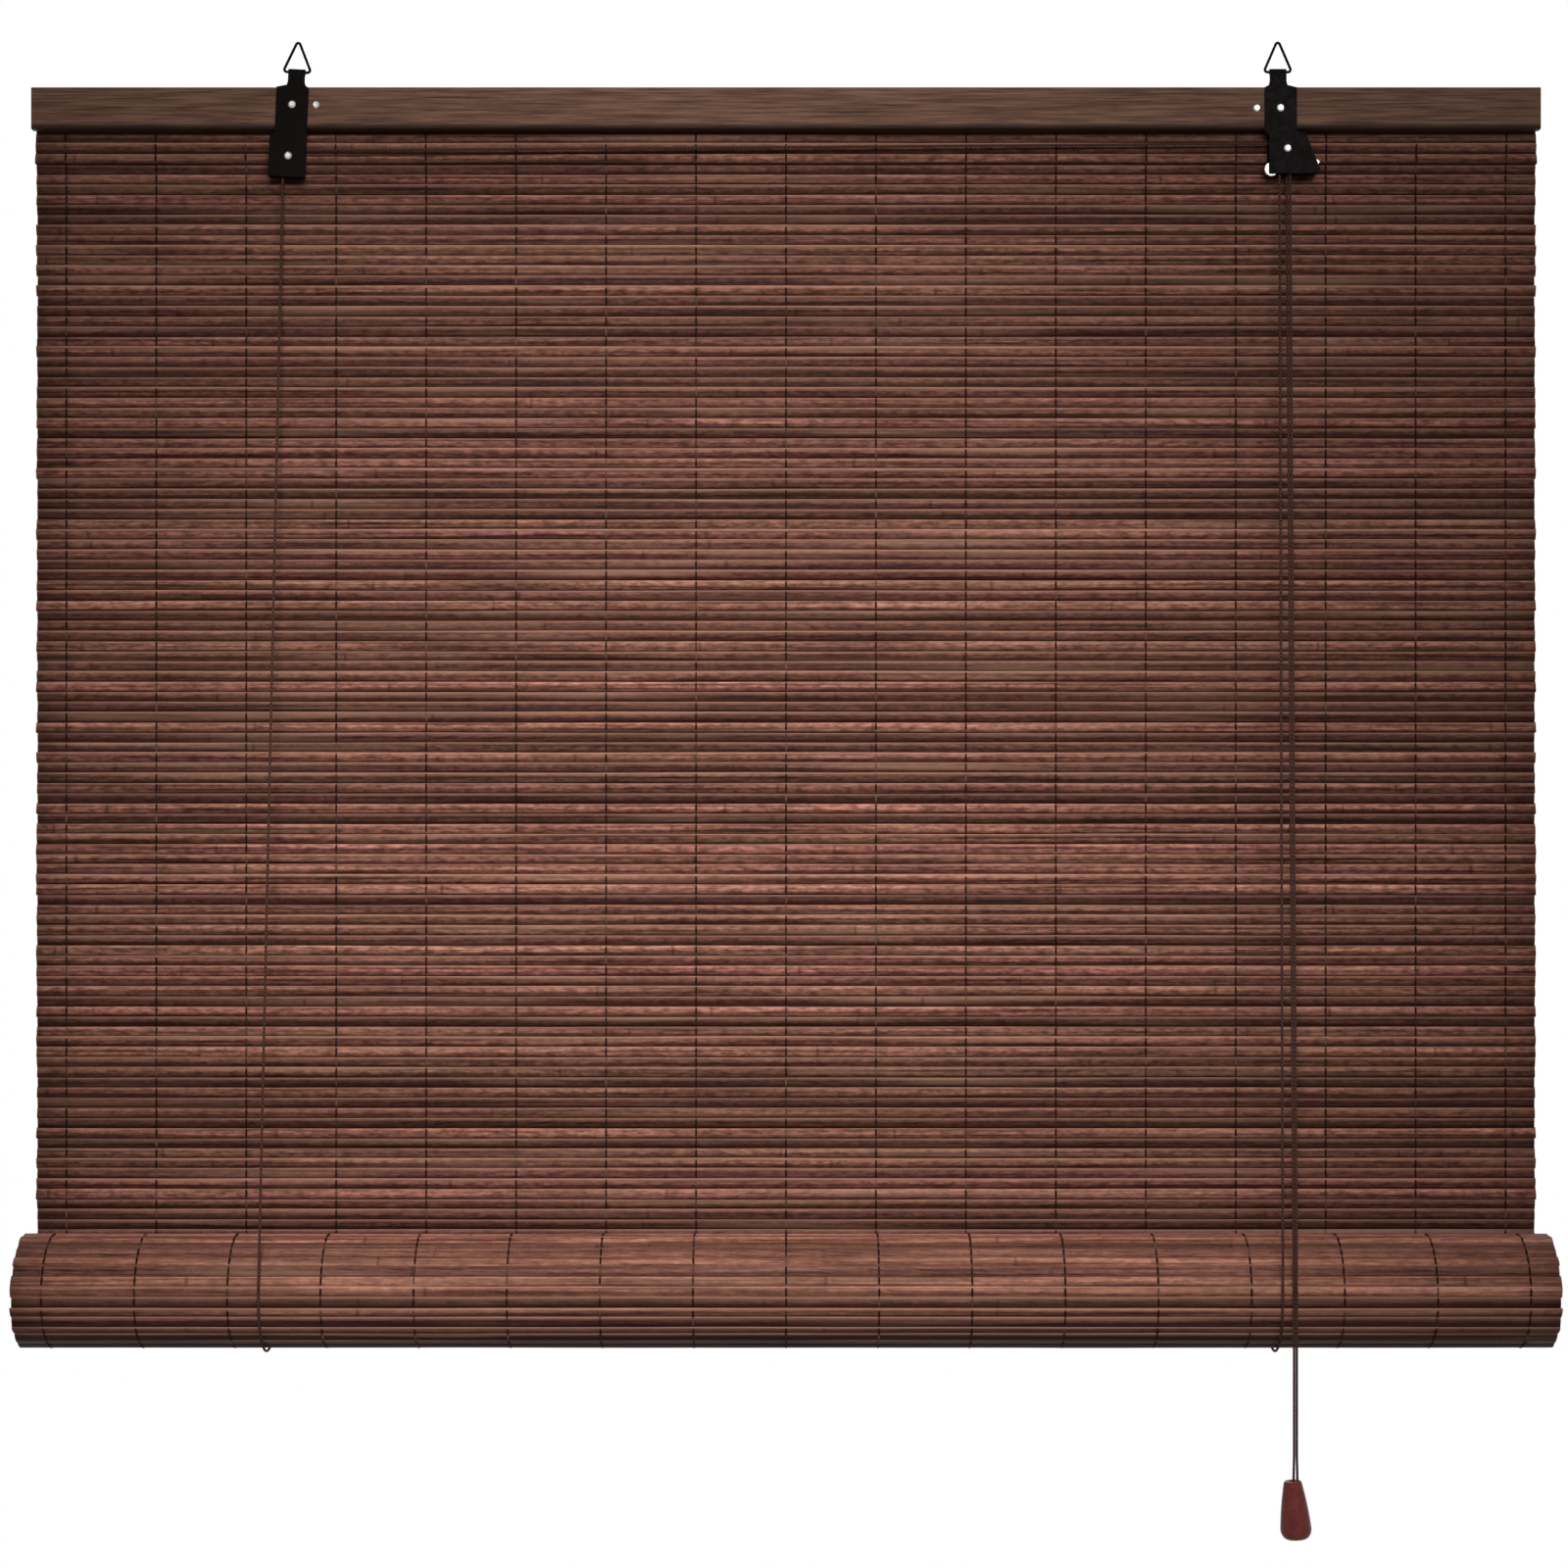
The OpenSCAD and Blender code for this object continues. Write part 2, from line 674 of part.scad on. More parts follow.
// Tassel: a turned bell with the cords' knot in its hollow

module lean_tassel() {
    translate([tassel_x, tassel_y, tassel_z]) rotate([0, -tassel_lean, 0]) children();
}

module tassel() {
    belly = 27.5;
    hollow = 20;
    flare = [for (i = [0:8]) let (t = i / 8)
        [tassel_top_r + (tassel_r - tassel_top_r) * (t + 0.12 * sin(180 * t)), -0.8 - (belly - 0.8) * t]];
    color(tassel_red) lean_tassel() rotate_extrude() polygon(concat(
        [[tassel_bore_r, 0], [tassel_top_r - 0.7, 0]], flare,
        [for (i = [1:5]) let (a = i * 15)
            [tassel_r - (tassel_r - 5) * (1 - cos(a)), -belly - (tassel_h - belly) * sin(a)]],
        [[5, -tassel_h], [4.2, -tassel_h], [4.2, -hollow], [tassel_bore_r, -hollow + 2]]));
}

// both cords tied together, with the pair above the knot
module tassel_knot() {
    knot = 3.4;
    color(cord_grey) lean_tassel() union() {
        translate([0, 0, -20.6 - knot]) sphere(knot);
        translate([0, 0, -22]) cylinder(h = 17, r = cord_d);
    }
}

head_rail();
slat_mat();
warp_threads();
mat_staples();
nails();
left_bracket();
left_ring();
left_pulley();
right_bracket();
right_ring();
right_pulley();
rivets();
guide_roller();
guide_pin();
lock_cam();
lock_pin();
lock_stud();
mat_roll();
roll_threads();
bottom_rod();
cord_staples();
cord_knots();
left_lift_cord();
right_lift_cord();
cross_cord();
pull_cord_front();
pull_cord_rear();
tassel();
tassel_knot();
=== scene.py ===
# A bamboo roll-up blind, half raised, hung from two wire rings in front of a white ground.
# Metres, +Z up, the room on the -Y side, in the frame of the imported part.
import json
import math

import bpy
import numpy as np
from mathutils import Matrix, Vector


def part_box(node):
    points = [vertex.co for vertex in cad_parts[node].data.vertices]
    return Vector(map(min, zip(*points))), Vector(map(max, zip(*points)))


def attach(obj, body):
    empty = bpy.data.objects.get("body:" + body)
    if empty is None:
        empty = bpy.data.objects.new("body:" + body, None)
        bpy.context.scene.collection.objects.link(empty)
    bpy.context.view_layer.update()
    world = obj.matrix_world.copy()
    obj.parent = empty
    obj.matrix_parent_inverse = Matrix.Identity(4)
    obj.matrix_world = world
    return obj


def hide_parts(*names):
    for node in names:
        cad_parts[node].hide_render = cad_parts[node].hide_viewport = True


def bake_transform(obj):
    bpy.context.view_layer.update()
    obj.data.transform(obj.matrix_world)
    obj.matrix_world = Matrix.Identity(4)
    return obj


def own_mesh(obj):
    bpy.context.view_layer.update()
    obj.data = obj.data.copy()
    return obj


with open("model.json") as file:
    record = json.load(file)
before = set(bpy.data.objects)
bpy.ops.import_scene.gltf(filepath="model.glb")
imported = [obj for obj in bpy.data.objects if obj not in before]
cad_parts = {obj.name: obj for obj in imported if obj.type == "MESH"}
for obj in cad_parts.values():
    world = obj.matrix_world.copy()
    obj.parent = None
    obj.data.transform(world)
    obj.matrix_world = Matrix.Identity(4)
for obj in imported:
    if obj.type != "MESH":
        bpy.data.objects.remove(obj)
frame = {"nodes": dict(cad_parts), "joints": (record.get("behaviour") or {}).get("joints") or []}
nodes = frame["nodes"]
joints = {joint["name"]: joint for joint in frame["joints"]}
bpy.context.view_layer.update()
scene = bpy.context.scene

# Camera: level, at the height of the blind's middle and almost two metres in front of it,
# with the focal length at which the rail fills the picture as it does in the photo.
PHOTO_PX = 1600
FOCAL_PX = 3239
CAMERA_AT = (-0.0012, -1.8929, -0.4411)
camera_data = bpy.data.cameras.new("camera")
camera_data.sensor_width = 36
camera_data.lens = camera_data.sensor_width * FOCAL_PX / PHOTO_PX
camera = bpy.data.objects.new("camera", camera_data)
camera.location = CAMERA_AT
camera.rotation_euler = (math.pi / 2, 0, 0)
scene.collection.objects.link(camera)
scene.camera = camera
scene.view_settings.view_transform = "Standard"


# Head rail, bottom rod and tassel: softwood. The rail and the rod have their grain lengthwise and are
# stained like the mat, and the rail has painted shade along its lower edge. The turned tassel is
# lacquered red-brown.
def add(tree, kind, inputs=(), **settings):
    """A node with its settings and its inputs, each a value or another node's socket."""
    made = tree.nodes.new(kind)
    for key, value in settings.items():
        setattr(made, key, value)
    for key, value in inputs.items() if isinstance(inputs, dict) else enumerate(inputs):
        if isinstance(value, bpy.types.NodeSocket):
            tree.links.new(value, made.inputs[key])
        elif value is not None:
            made.inputs[key].default_value = value
    return made


def sums(tree, operation, a, b=None):
    return add(tree, "ShaderNodeMath", [a, b], operation=operation).outputs[0]


def group(name, kind, inputs, outputs):
    """A node group with named inputs and outputs, and its two end nodes."""
    tree = bpy.data.node_groups.new(name, kind)
    for label, socket, value in inputs:
        made = tree.interface.new_socket(label, in_out="INPUT", socket_type="NodeSocket" + socket)
        if value is not None:
            made.default_value = value
    for label, socket in outputs:
        tree.interface.new_socket(label, in_out="OUTPUT", socket_type="NodeSocket" + socket)
    return tree, tree.nodes.new("NodeGroupInput").outputs, tree.nodes.new("NodeGroupOutput").inputs


def srgb(r, g, b):
    shares = [v / 255 for v in (r, g, b)]
    return tuple(v / 12.92 if v < 0.04045 else ((v + 0.055) / 1.055) ** 2.4 for v in shares) + (1.0,)


def mix(tree, share, a, b, blend_type="MIX"):
    inputs = {0: share, 6: a, 7: b}
    return add(tree, "ShaderNodeMix", inputs, data_type="RGBA", blend_type=blend_type).outputs[2]


def ramp(tree, value, low, high, first=0.0, last=1.0):
    return add(
        tree, "ShaderNodeMapRange", [value, low, high, first, last], interpolation_type="SMOOTHSTEP"
    ).outputs[0]


grain, given, out = group(
    "long_grain",
    "ShaderNodeTree",
    [
        ("Dark", "Color", (0, 0, 0, 1)),
        ("Light", "Color", (1, 1, 1, 1)),
        ("Shift", "Float", 0.0),
        ("Along", "Float", 6.0),
        ("Across", "Float", 420.0),
        ("Contrast", "Float", 1.0),
    ],
    [("Color", "Color"), ("Height", "Float")],
)
where = add(grain, "ShaderNodeSeparateXYZ", [add(grain, "ShaderNodeTexCoord").outputs["Object"]]).outputs
long_way = add(
    grain,
    "ShaderNodeCombineXYZ",
    [
        sums(grain, "ADD", sums(grain, "MULTIPLY", where[0], given["Along"]), given["Shift"]),
        sums(grain, "MULTIPLY", where[1], given["Across"]),
        sums(grain, "MULTIPLY", where[2], given["Across"]),
    ],
).outputs[0]
fine = add(
    grain, "ShaderNodeTexNoise", {"Vector": long_way, "Scale": 1.0, "Detail": 5.0, "Roughness": 0.65}
)
half = sums(grain, "MULTIPLY", given["Contrast"], 0.22)
streak = add(
    grain,
    "ShaderNodeMapRange",
    [fine.outputs[0], sums(grain, "SUBTRACT", 0.5, half), sums(grain, "ADD", 0.5, half), 0.0, 1.0],
).outputs[0]
grain.links.new(mix(grain, streak, given["Dark"], given["Light"]), out["Color"])
grain.links.new(streak, out["Height"])


def material(name, roughness, metallic=0.0, specular=0.2):
    made = bpy.data.materials.new(name)
    made.use_nodes = True
    shader = made.node_tree.nodes["Principled BSDF"].inputs
    shader["Roughness"].default_value = roughness
    shader["Metallic"].default_value = metallic
    shader["Specular IOR Level"].default_value = specular
    return made, made.node_tree, shader


def bumped(tree, height, depth):
    return add(tree, "ShaderNodeBump", {"Height": height, "Strength": 0.6, "Distance": depth}).outputs[0]


def grained(name, dark, light, roughness, along, across, depth, shaded_lower_edge=None):
    made, tree, shader = material(name, roughness, specular=0.08)
    looks = {"Dark": dark, "Light": light, "Along": along, "Across": across}
    strands = add(tree, "ShaderNodeGroup", looks, node_tree=grain)
    colour = strands.outputs["Color"]
    if shaded_lower_edge is not None:
        at = add(tree, "ShaderNodeSeparateXYZ", [add(tree, "ShaderNodeTexCoord").outputs["Object"]]).outputs
        # Painted shade along the rail's rounded lower edge.
        rail_edge_shade = ramp(tree, at[2], shaded_lower_edge + RAIL_SHADE_BEGINS, shaded_lower_edge + RAIL_SHADE_DARKEST, 0.0, 0.85)
        colour = mix(tree, rail_edge_shade, colour, RAIL_EDGE_SHADE)
    tree.links.new(colour, shader["Base Color"])
    tree.links.new(bumped(tree, strands.outputs["Height"], depth), shader["Normal"])
    return made, shader


def coat(finish, *names):
    """A finish on solids of the part, in place of the one they came with."""
    for name in names:
        nodes[name].data.materials.clear()
        nodes[name].data.materials.append(finish)


# Painted shade on the rail's lower edge: where it begins, where it is darkest, and its colour.
RAIL_SHADE_BEGINS = 0.0042
RAIL_SHADE_DARKEST = 0.0012
RAIL_EDGE_SHADE = srgb(24, 11, 8)
RAIL_GRAIN = dict(
    dark=srgb(66, 41, 32), light=srgb(150, 112, 92), roughness=0.55, along=30.0, across=800.0, depth=0.0002
)
rail_low = float(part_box("head_rail")[0][2])
railed, _ = grained("rail_wood", **RAIL_GRAIN, shaded_lower_edge=rail_low)
stained, _ = grained("rod_wood", **RAIL_GRAIN)
lacquered, shader = grained(
    "tassel_wood",
    dark=srgb(104, 44, 41),
    light=srgb(142, 66, 60),
    roughness=0.35,
    along=160.0,
    across=160.0,
    depth=0.00005,
)
shader["Coat Weight"].default_value = 0.1
coat(railed, "head_rail")
coat(stained, "bottom_rod")
coat(lacquered, "tassel")

# Bamboo mat: split strips laid side by side, each a little wavy and uneven at its ends. The strips
# are placed by number, hanging flat from the rail or wound into the roll.
SLAT_PITCH = 0.00608
SLAT_T = 0.0018
FLAT_SLATS = 117
HEM_SLATS = 7
ROLLED_SLATS = 172
TURN_PITCH = 0.003
EDGE_PINCH = 0.85
OVERLAP = 1.12
WAVES_PER_M = 8.0


def joint_at(name):
    return np.array(joints[name]["pos_m"])


roll_at = joint_at("roll_turn")
raise_by = joints["roll_lift"]["range_m"][1]
mat_low, mat_high = (np.array(corner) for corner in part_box("slat_mat"))
mat_w = float(mat_high[0] - mat_low[0])
mat_y = float(mat_high[1]) - SLAT_T / 2
hem_y = float(mat_low[1]) + SLAT_T / 2
mat_top = float(mat_high[2])
wound_r = float(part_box("mat_roll")[1][1]) - float(roll_at[1]) - SLAT_T / 2
still_slats = math.floor((mat_top - (float(roll_at[2]) + raise_by)) / SLAT_PITCH) - 1
LAYOUT = [
    ("Depth", "Float", mat_y),
    ("Wound", "Bool", False),
    ("Top", "Float", mat_top),
    ("Pitch", "Float", SLAT_PITCH),
    ("Roll Middle", "Vector", tuple(float(x) for x in roll_at)),
    ("Roll Radius", "Float", wound_r),
    ("Turn Pitch", "Float", TURN_PITCH),
]
place, given, out = group(
    "place_on_mat",
    "GeometryNodeTree",
    [("Slat", "Float", 0.0), ("Lift", "Float", 0.0)] + LAYOUT,
    [("Place", "Vector"), ("Turn", "Vector")],
)
fall = sums(place, "MULTIPLY", sums(place, "ADD", given["Slat"], 0.5), given["Pitch"])
flat = add(
    place,
    "ShaderNodeCombineXYZ",
    [0.0, sums(place, "ADD", given["Depth"], given["Lift"]), sums(place, "SUBTRACT", given["Top"], fall)],
)
inward = sums(place, "DIVIDE", given["Turn Pitch"], 2 * math.pi)
left_over = sums(
    place,
    "SUBTRACT",
    sums(place, "POWER", given["Roll Radius"], 2.0),
    sums(place, "MULTIPLY", sums(place, "MULTIPLY", inward, 2.0), fall),
)
radius = sums(place, "SQRT", left_over)
angle = sums(place, "DIVIDE", sums(place, "SUBTRACT", given["Roll Radius"], radius), inward)
reach = sums(place, "ADD", radius, given["Lift"])
around = add(
    place,
    "ShaderNodeCombineXYZ",
    [
        0.0,
        sums(place, "MULTIPLY", reach, sums(place, "COSINE", angle)),
        sums(place, "MULTIPLY", sums(place, "MULTIPLY", reach, sums(place, "SINE", angle)), -1.0),
    ],
)
wound = add(place, "ShaderNodeVectorMath", [around.outputs[0], given["Roll Middle"]], operation="ADD")
spin = add(place, "ShaderNodeCombineXYZ", [sums(place, "MULTIPLY", angle, -1.0), 0.0, 0.0])
for label, hung, rolled in (
    ("Place", flat.outputs[0], wound.outputs[0]),
    ("Turn", (0.0, 0.0, 0.0), spin.outputs[0]),
):
    pick = add(place, "GeometryNodeSwitch", [given["Wound"], hung, rolled], input_type="VECTOR")
    place.links.new(pick.outputs[0], out[label])


def placed(tree, given, slat, lift):
    layout = {label: given[label] for label, *_ in LAYOUT}
    return add(tree, "GeometryNodeGroup", {"Slat": slat, "Lift": lift, **layout}, node_tree=place).outputs


def realized(tree, shape, points, turn, number):
    """One shape on every point, turned, made real and marked with its number."""
    copies = add(
        tree, "GeometryNodeInstanceOnPoints", {"Points": points, "Instance": shape, "Rotation": turn}
    ).outputs[0]
    marked = add(
        tree,
        "GeometryNodeStoreNamedAttribute",
        {"Geometry": copies, "Name": "slat", "Value": number},
        data_type="FLOAT",
        domain="INSTANCE",
    ).outputs[0]
    return add(tree, "GeometryNodeRealizeInstances", [marked]).outputs[0]


slats, given, out = group(
    "slats",
    "GeometryNodeTree",
    [
        ("Count", "Int", 10),
        ("First", "Int", 0),
        ("Seed", "Float", 0.0),
        ("Width", "Float", mat_w),
        ("Thickness", "Float", SLAT_T),
        ("Waviness", "Float", 0.0009),
        ("Uneven Ends", "Float", 0.0022),
        ("Lean", "Float", 0.22),
        ("Back", "Float", 0.0),
        ("Material", "Material", None),
    ]
    + LAYOUT,
    [("Geometry", "Geometry")],
)
size = add(slats, "ShaderNodeCombineXYZ", [given["Width"], given["Thickness"], given["Pitch"]])
bar = add(slats, "GeometryNodeMeshCube", {"Size": size.outputs[0], "Vertices X": 33, "Vertices Z": 5})
corner = add(slats, "ShaderNodeSeparateXYZ", [add(slats, "GeometryNodeInputPosition").outputs[0]]).outputs
share = sums(slats, "DIVIDE", corner[2], sums(slats, "MULTIPLY", given["Pitch"], 0.5))
outer = sums(slats, "ABSOLUTE", share)
pinch = sums(slats, "SUBTRACT", 1.0, sums(slats, "MULTIPLY", sums(slats, "POWER", outer, 2.0), EDGE_PINCH))
spread = sums(slats, "SUBTRACT", 2.0, sums(slats, "MULTIPLY", outer, 2.0 - OVERLAP))
rounded = add(
    slats,
    "ShaderNodeCombineXYZ",
    [corner[0], sums(slats, "MULTIPLY", corner[1], pinch), sums(slats, "MULTIPLY", corner[2], spread)],
)
edged = add(
    slats,
    "GeometryNodeStoreNamedAttribute",
    {"Geometry": bar.outputs[0], "Name": "edge", "Value": share},
    data_type="FLOAT",
    domain="POINT",
).outputs[0]
strip = add(slats, "GeometryNodeSetPosition", {"Geometry": edged, "Position": rounded.outputs[0]})
number = sums(slats, "ADD", add(slats, "GeometryNodeInputIndex").outputs[0], given["First"])
spot = placed(slats, given, number, 0.0)
dots = add(slats, "GeometryNodePoints", {"Count": given["Count"], "Position": spot["Place"]}).outputs[0]
tag = sums(slats, "ADD", number, given["Seed"])
chance = add(slats, "ShaderNodeTexWhiteNoise", {"W": tag}, noise_dimensions="1D").outputs[0]
second = sums(slats, "FLOORED_MODULO", number, 2.0)
side = sums(slats, "SUBTRACT", sums(slats, "MULTIPLY", second, 2.0), 1.0)
most = sums(slats, "MULTIPLY", side, given["Lean"])
tilt = sums(slats, "MULTIPLY", most, sums(slats, "ADD", chance, 0.4))
leant = add(slats, "ShaderNodeCombineXYZ", [tilt, 0.0, 0.0]).outputs[0]
turned = add(slats, "ShaderNodeVectorMath", [spot["Turn"], leant], operation="ADD").outputs[0]
real = realized(slats, strip.outputs[0], dots, turned, tag)
slat = add(slats, "GeometryNodeInputNamedAttribute", {"Name": "slat"}, data_type="FLOAT").outputs[0]
at = add(slats, "ShaderNodeSeparateXYZ", [add(slats, "GeometryNodeInputPosition").outputs[0]]).outputs
way = add(
    slats,
    "ShaderNodeCombineXYZ",
    [sums(slats, "MULTIPLY", at[0], WAVES_PER_M), sums(slats, "MULTIPLY", slat, 3.7), 0.0],
)
bend = add(slats, "ShaderNodeTexNoise", {"Vector": way.outputs[0], "Scale": 1.0, "Detail": 1.0})
sway = add(
    slats, "ShaderNodeVectorMath", [bend.outputs["Color"], (0.5, 0.5, 0.5)], operation="SUBTRACT"
).outputs[0]
off = add(slats, "ShaderNodeSeparateXYZ", [sway]).outputs
end = add(slats, "ShaderNodeTexWhiteNoise", {"W": slat}, noise_dimensions="1D").outputs[0]
longer = sums(slats, "MULTIPLY", sums(slats, "SUBTRACT", end, 0.5), given["Uneven Ends"])
moved = add(
    slats,
    "ShaderNodeCombineXYZ",
    [
        sums(slats, "MULTIPLY", longer, sums(slats, "DIVIDE", at[0], given["Width"])),
        sums(slats, "MULTIPLY", off[1], sums(slats, "MULTIPLY", given["Waviness"], 0.5)),
        sums(slats, "MULTIPLY", off[2], given["Waviness"]),
    ],
)
wavy = add(slats, "GeometryNodeSetPosition", {"Geometry": real, "Offset": moved.outputs[0]}).outputs[0]
faced = add(
    slats,
    "GeometryNodeStoreNamedAttribute",
    {"Geometry": wavy, "Name": "back", "Value": given["Back"]},
    data_type="FLOAT",
    domain="POINT",
).outputs[0]
soft = add(slats, "GeometryNodeSetShadeSmooth", {"Geometry": faced}).outputs[0]
coated = add(slats, "GeometryNodeSetMaterial", {"Geometry": soft, "Material": given["Material"]})
slats.links.new(coated.outputs[0], out["Geometry"])


def grown(name, tree, settings):
    """The plain mesh that a node tree makes with these settings."""
    piece = bpy.data.objects.new(name, bpy.data.meshes.new(name))
    scene.collection.objects.link(piece)
    modifier = piece.modifiers.new("grow", "NODES")
    modifier.node_group = tree
    sockets = {item.name: item.identifier for item in tree.interface.items_tree if item.in_out == "INPUT"}
    for label, value in settings.items():
        modifier[sockets[label]] = value
    bpy.context.view_layer.update()
    made = bpy.data.meshes.new_from_object(piece.evaluated_get(bpy.context.evaluated_depsgraph_get()))
    piece.modifiers.clear()
    piece.data = made
    made.name = name
    return piece

# Bamboo finish: a brown stain over long grain, each strip of its own tone, with the cane's dark
# rings and worn streaks. Painted light and shade: a painted highlight on each strip's upper edge and
# painted shade on its lower one, the lower strip of each pair painted darker, and painted shade on
# the mat close to the rail. The roll shows the mat's back, with painted light on its top and painted
# shade underneath.
STAIN_DARK = srgb(46, 23, 17)
STAIN_LIGHT = srgb(147, 100, 85)
WORN = srgb(172, 131, 108)
CANE_RING = srgb(40, 22, 17)
# Painted highlight and painted shade for the strips' edges, and painted shade for the roll's underside.
SLAT_EDGE_HIGHLIGHT = srgb(196, 142, 118)
SLAT_EDGE_SHADE = srgb(38, 13, 9)
ROLL_UNDER_SHADE = srgb(20, 9, 7)
CANE_RINGS_PER_M = 2.7
STREAKS_PER_M = 5.0
DARKER_ABOVE = 0.03
DARKER_UNTIL = 0.12
bamboo, tree, shader = material("bamboo", 0.55, specular=0.05)
slat = add(tree, "ShaderNodeAttribute", attribute_name="slat").outputs["Fac"]
chance = add(tree, "ShaderNodeTexWhiteNoise", {"W": slat}, noise_dimensions="1D").outputs
tone = chance["Value"]
hue = add(tree, "ShaderNodeSeparateColor", [chance["Color"]]).outputs[1]
at = add(tree, "ShaderNodeSeparateXYZ", [add(tree, "ShaderNodeTexCoord").outputs["Object"]]).outputs
back = add(tree, "ShaderNodeAttribute", attribute_name="back").outputs["Fac"]
edge = add(tree, "ShaderNodeAttribute", attribute_name="edge").outputs["Fac"]
# The roll's strips run the other way, so the edge is turned round to keep the painted highlight on top.
edge = sums(tree, "MULTIPLY", edge, ramp(tree, back, 0.0, 1.0, 1.0, -1.0))
strands = add(
    tree,
    "ShaderNodeGroup",
    {
        "Dark": STAIN_DARK,
        "Light": STAIN_LIGHT,
        "Shift": sums(tree, "MULTIPLY", tone, 37.0),
        "Contrast": 0.65,
    },
    node_tree=grain,
)
fibres = add(
    tree,
    "ShaderNodeGroup",
    {
        "Dark": (0.5, 0.46, 0.44, 1.0),
        "Light": (1.55, 1.55, 1.53, 1.0),
        "Shift": sums(tree, "MULTIPLY", tone, 91.0),
        "Along": 130.0,
        "Across": 420.0,
        "Contrast": 0.5,
    },
    node_tree=grain,
)
# Painted light and shade by pair: the upper strip of each pair is painted lighter, the lower one darker.
lower = sums(tree, "FLOORED_MODULO", sums(tree, "ADD", slat, back), 2.0)
rise = sums(tree, "DIVIDE", sums(tree, "SUBTRACT", at[2], float(roll_at[2])), wound_r)
# Painted light on the roll's top and painted shade on its lower side.
roll_light_from_above = sums(tree, "MULTIPLY", back, ramp(tree, rise, -0.8, 0.9, -0.62, 1.05))
pair_and_roll_light = sums(tree, "ADD", ramp(tree, lower, 0.0, 1.0, 1.18, 0.82), roll_light_from_above)
# Painted shade on the mat just below the rail.
rail_shade = ramp(tree, at[2], mat_top - DARKER_ABOVE, mat_top - DARKER_UNTIL, 0.8, 1.0)
shade = sums(
    tree, "MULTIPLY", ramp(tree, tone, 0.0, 1.0, 0.46, 1.76), sums(tree, "MULTIPLY", pair_and_roll_light, rail_shade)
)
stain = add(
    tree,
    "ShaderNodeCombineColor",
    [shade, sums(tree, "MULTIPLY", shade, ramp(tree, hue, 0.0, 1.0, 0.91, 1.06)), shade],
).outputs[0]
fibre_share = ramp(tree, back, 0.0, 1.0, 1.0, 0.6)
fibrous = mix(tree, fibre_share, strands.outputs["Color"], fibres.outputs["Color"], "MULTIPLY")
toned = mix(tree, 1.0, fibrous, stain, "MULTIPLY")
streak_at = add(
    tree,
    "ShaderNodeCombineXYZ",
    [
        sums(tree, "MULTIPLY", at[0], STREAKS_PER_M),
        sums(tree, "MULTIPLY", slat, 5.3),
        sums(tree, "MULTIPLY", edge, 0.8),
    ],
).outputs[0]
streak = add(tree, "ShaderNodeTexNoise", {"Vector": streak_at, "Scale": 1.0, "Detail": 3.0}).outputs[0]
worn = mix(tree, ramp(tree, streak, 0.5, 0.8, 0.0, 0.6), toned, WORN)
first_ring = sums(tree, "MULTIPLY", tone, 19.0)
cane = sums(tree, "FRACT", sums(tree, "ADD", sums(tree, "MULTIPLY", at[0], CANE_RINGS_PER_M), first_ring))
ring = sums(tree, "MULTIPLY", ramp(tree, cane, 0.0, 0.002), ramp(tree, cane, 0.008, 0.004))
marked = mix(tree, sums(tree, "MULTIPLY", ring, 0.5), worn, CANE_RING)
# The painted edge highlight and edge shade fade out on the roll's upper part.
edge_light_share = sums(tree, "SUBTRACT", 1.0, sums(tree, "MULTIPLY", back, ramp(tree, rise, -0.1, 0.5, 0.0, 0.8)))
# Painted highlight along each strip's upper edge.
painted_highlight = sums(tree, "MULTIPLY", ramp(tree, edge, 0.1, 1.0, 0.0, 0.65), edge_light_share)
highlit = mix(tree, painted_highlight, marked, SLAT_EDGE_HIGHLIGHT)
# Painted shade along each strip's lower edge, less of it on the upper strip of a pair.
slat_edge_shade = sums(tree, "MULTIPLY", ramp(tree, edge, 0.4, -1.0), ramp(tree, lower, 0.0, 1.0, 0.88, 1.0))
under = sums(tree, "MULTIPLY", slat_edge_shade, edge_light_share)
edged = mix(tree, under, highlit, SLAT_EDGE_SHADE)
# Painted shade on the roll's underside.
underside = sums(tree, "MULTIPLY", back, ramp(tree, rise, -0.7, -0.95, 0.0, 0.72))
tree.links.new(mix(tree, underside, edged, ROLL_UNDER_SHADE), shader["Base Color"])
relief = sums(tree, "ADD", strands.outputs["Height"], ring)
tree.links.new(bumped(tree, relief, 0.0003), shader["Normal"])

STRIPS = [
    ("hem_slats", "head", "slat_mat", dict(Count=HEM_SLATS, Seed=500.0, Depth=hem_y)),
    ("upper_slats", "head", "slat_mat", dict(Count=still_slats)),
    ("lower_slats", "head", "slat_mat", dict(Count=FLAT_SLATS - still_slats, First=still_slats)),
    ("wound_slats", "roll", "mat_roll", dict(Count=ROLLED_SLATS, Seed=200.0, Wound=True, Back=1.0)),
]
for name, body, node, settings in STRIPS:
    piece = grown(name, slats, dict(settings, Material=bamboo))
    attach(piece, body)
    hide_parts(node)
    if name == "lower_slats":
        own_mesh(piece)

# Warp threads: 17 lines of dark cotton that hold the mat together. Each crosses every strip in a
# short stitch, in front and behind, and here and there a stitch has a painted glint of pale colour.
THREADS = 17
THREAD_W = 0.0012
STITCH_T = 0.0011
STITCH_SHARE = 0.86
COTTON = srgb(38, 17, 14)
COTTON_GLINT = srgb(120, 88, 74)
thin, tree, shader = material("thread", 0.85, specular=0.1)
slat = add(tree, "ShaderNodeAttribute", attribute_name="slat").outputs["Fac"]
tone = add(tree, "ShaderNodeTexWhiteNoise", {"W": slat}, noise_dimensions="1D").outputs[0]
